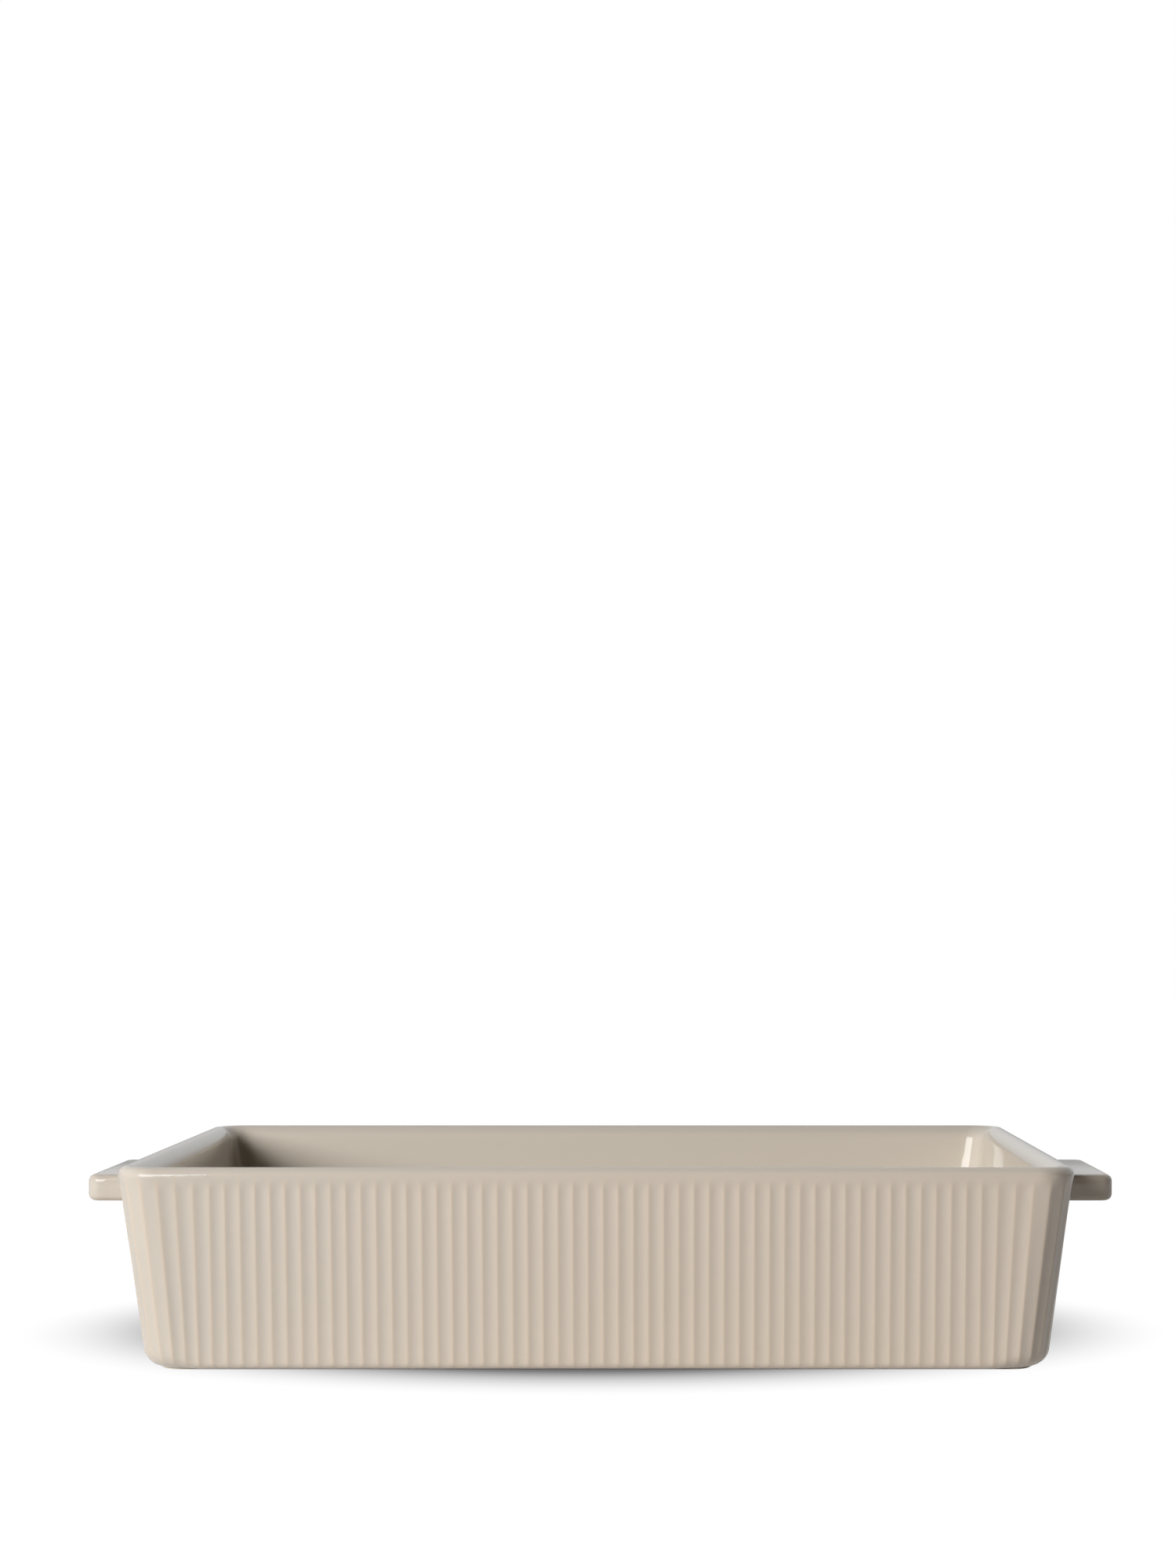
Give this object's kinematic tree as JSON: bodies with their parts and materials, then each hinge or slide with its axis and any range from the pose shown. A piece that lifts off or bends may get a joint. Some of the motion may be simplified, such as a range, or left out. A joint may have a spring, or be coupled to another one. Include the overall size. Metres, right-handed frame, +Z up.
{
  "type": "baking dish",
  "caption": "Deep rectangular stoneware baking dish with fluted leaning walls, round corners, a smooth round lip, slab handles at the ends and a bare foot ring.",
  "frame": {"origin": "middle of the foot ring's bottom face, on the surface the dish stands on", "axes": "+X along the dish's length towards the right handle, +Y from the front wall to the back wall, +Z up"},
  "size_m": [0.4, 0.24, 0.075],
  "materials": {
    "beige_glaze": "glossy beige stoneware glaze that breaks warmer on the arrises",
    "bare_clay": "matt bare fired clay, wiped clean of glaze"
  },
  "bodies": {
    "root": {"dish_body": "beige_glaze", "left_handle": "beige_glaze", "right_handle": "beige_glaze", "foot_ring": "bare_clay"}
  },
  "joints": []
}
